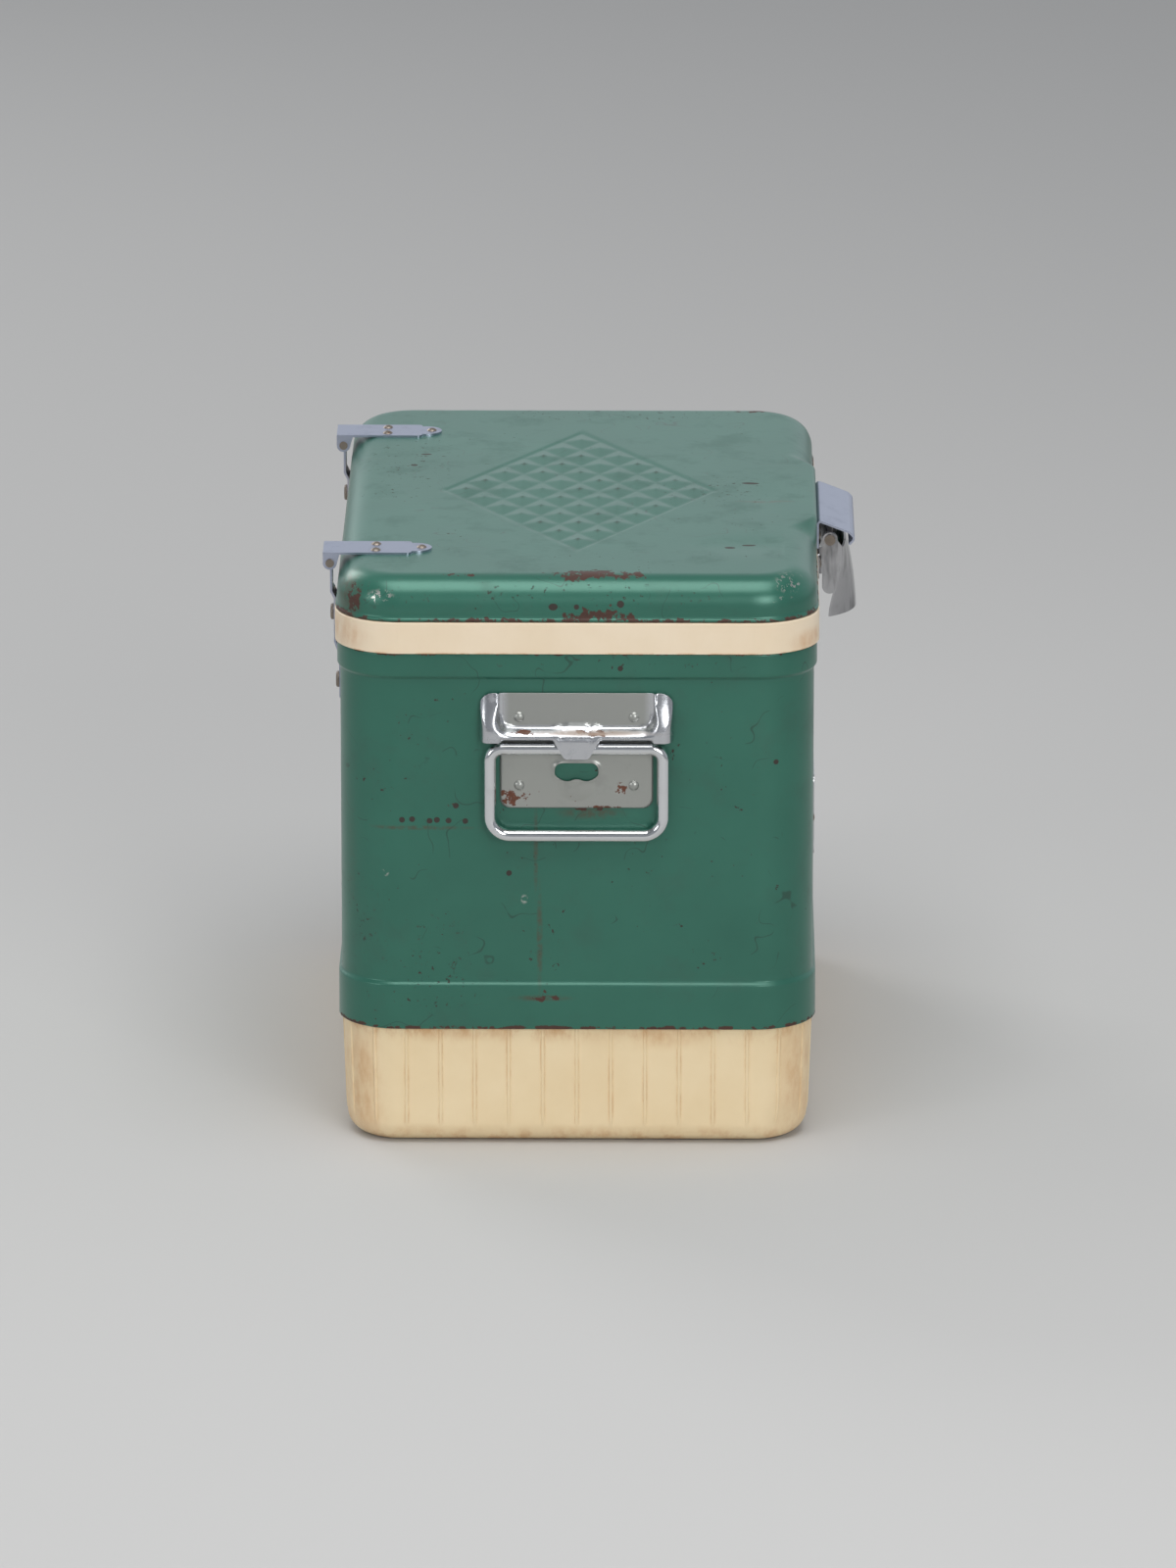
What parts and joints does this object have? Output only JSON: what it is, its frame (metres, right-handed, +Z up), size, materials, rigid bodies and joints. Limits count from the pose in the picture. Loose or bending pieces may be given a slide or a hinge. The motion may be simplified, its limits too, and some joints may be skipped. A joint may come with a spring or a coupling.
{
  "type": "ice chest",
  "caption": "Steel picnic ice chest with a hinged insulated lid, a front latch, a drop handle with bottle opener on each end, a ribbed base tub and a plugged drain.",
  "frame": {"origin": "centre of the flat underside of the base tub, on the floor", "axes": "+Z up; +Y along the length towards the far end, the one with the drain; +X towards the latch side; -X is the hinge side"},
  "size_m": [0.3699, 0.5104, 0.4092],
  "materials": {
    "green_enamel": "worn satin green enamel with rust specks",
    "lid_enamel": "worn satin green enamel, embossed, with rust along the edges",
    "cream_band": "smooth aged cream plastic",
    "cream_tub": "grained cream plastic, stained brown at the corners",
    "liner_plastic": "smooth off-white plastic",
    "foam": "rigid insulating foam",
    "rubber": "matt rubber",
    "bright_plate": "bright nickel plate on steel",
    "dull_steel": "dull, slightly rusty steel",
    "grey_plate": "dull grey plate with rust spots",
    "handle_chrome": "worn chrome",
    "latch_chrome": "bright chrome",
    "bare_plate": "satin, bare of lettering",
    "drain_plastic": "smooth cream plastic"
  },
  "bodies": {
    "chest": {"base_tub": "cream_tub", "outer_jacket": "green_enamel", "rim_band": "cream_band", "inner_liner": "liner_plastic", "body_foam": "foam", "hinge_leaf_near": "bright_plate", "hinge_pin_near": "dull_steel", "hinge_leaf_far": "bright_plate", "hinge_pin_far": "dull_steel", "hinge_leaf_screws": "dull_steel", "handle_plate_near": "grey_plate", "handle_housing_near": "handle_chrome", "handle_rivets_near": "grey_plate", "handle_plate_far": "grey_plate", "handle_housing_far": "handle_chrome", "handle_rivets_far": "grey_plate", "latch_bracket": "grey_plate", "latch_bracket_rivets": "dull_steel", "latch_pin": "dull_steel", "name_plate": "bare_plate", "name_plate_rivets": "dull_steel", "drain_tube": "drain_plastic", "drain_washer": "rubber", "drain_nut": "drain_plastic"},
    "lid": {"lid_shell": "lid_enamel", "lid_pan": "liner_plastic", "lid_foam": "foam", "lid_gasket": "rubber", "hinge_strap_near": "bright_plate", "hinge_strap_far": "bright_plate", "hinge_strap_rivets": "dull_steel", "latch_keeper": "bright_plate", "latch_keeper_rivets": "dull_steel", "latch_hasp": "dull_steel"},
    "latch_lever": {"latch_lever": "latch_chrome"},
    "handle_bail_near": {"handle_bail_near": "handle_chrome"},
    "handle_bail_far": {"handle_bail_far": "handle_chrome"},
    "drain_plug": {"drain_plug": "rubber"}
  },
  "joints": [
    {"name": "lid_hinge", "type": "hinge", "parent": "chest", "child": "lid", "pos_m": [-0.1705, 0, 0.4], "axis": [0, -1, 0], "range_deg": [0, 105]},
    {"name": "latch_lever_turn", "type": "hinge", "parent": "chest", "child": "latch_lever", "pos_m": [0.1755, 0, 0.38], "axis": [0, -1, 0], "range_deg": [-6, 27]},
    {"name": "bail_near_swing", "type": "hinge", "parent": "chest", "child": "handle_bail_near", "pos_m": [0, -0.249, 0.2875], "axis": [-1, 0, 0], "range_deg": [0, 90]},
    {"name": "bail_far_swing", "type": "hinge", "parent": "chest", "child": "handle_bail_far", "pos_m": [0, 0.249, 0.2875], "axis": [1, 0, 0], "range_deg": [0, 90]},
    {"name": "drain_plug_pull", "type": "slide", "parent": "chest", "child": "drain_plug", "axis": [0, 1, 0], "range_m": [0, 0.025]}
  ]
}
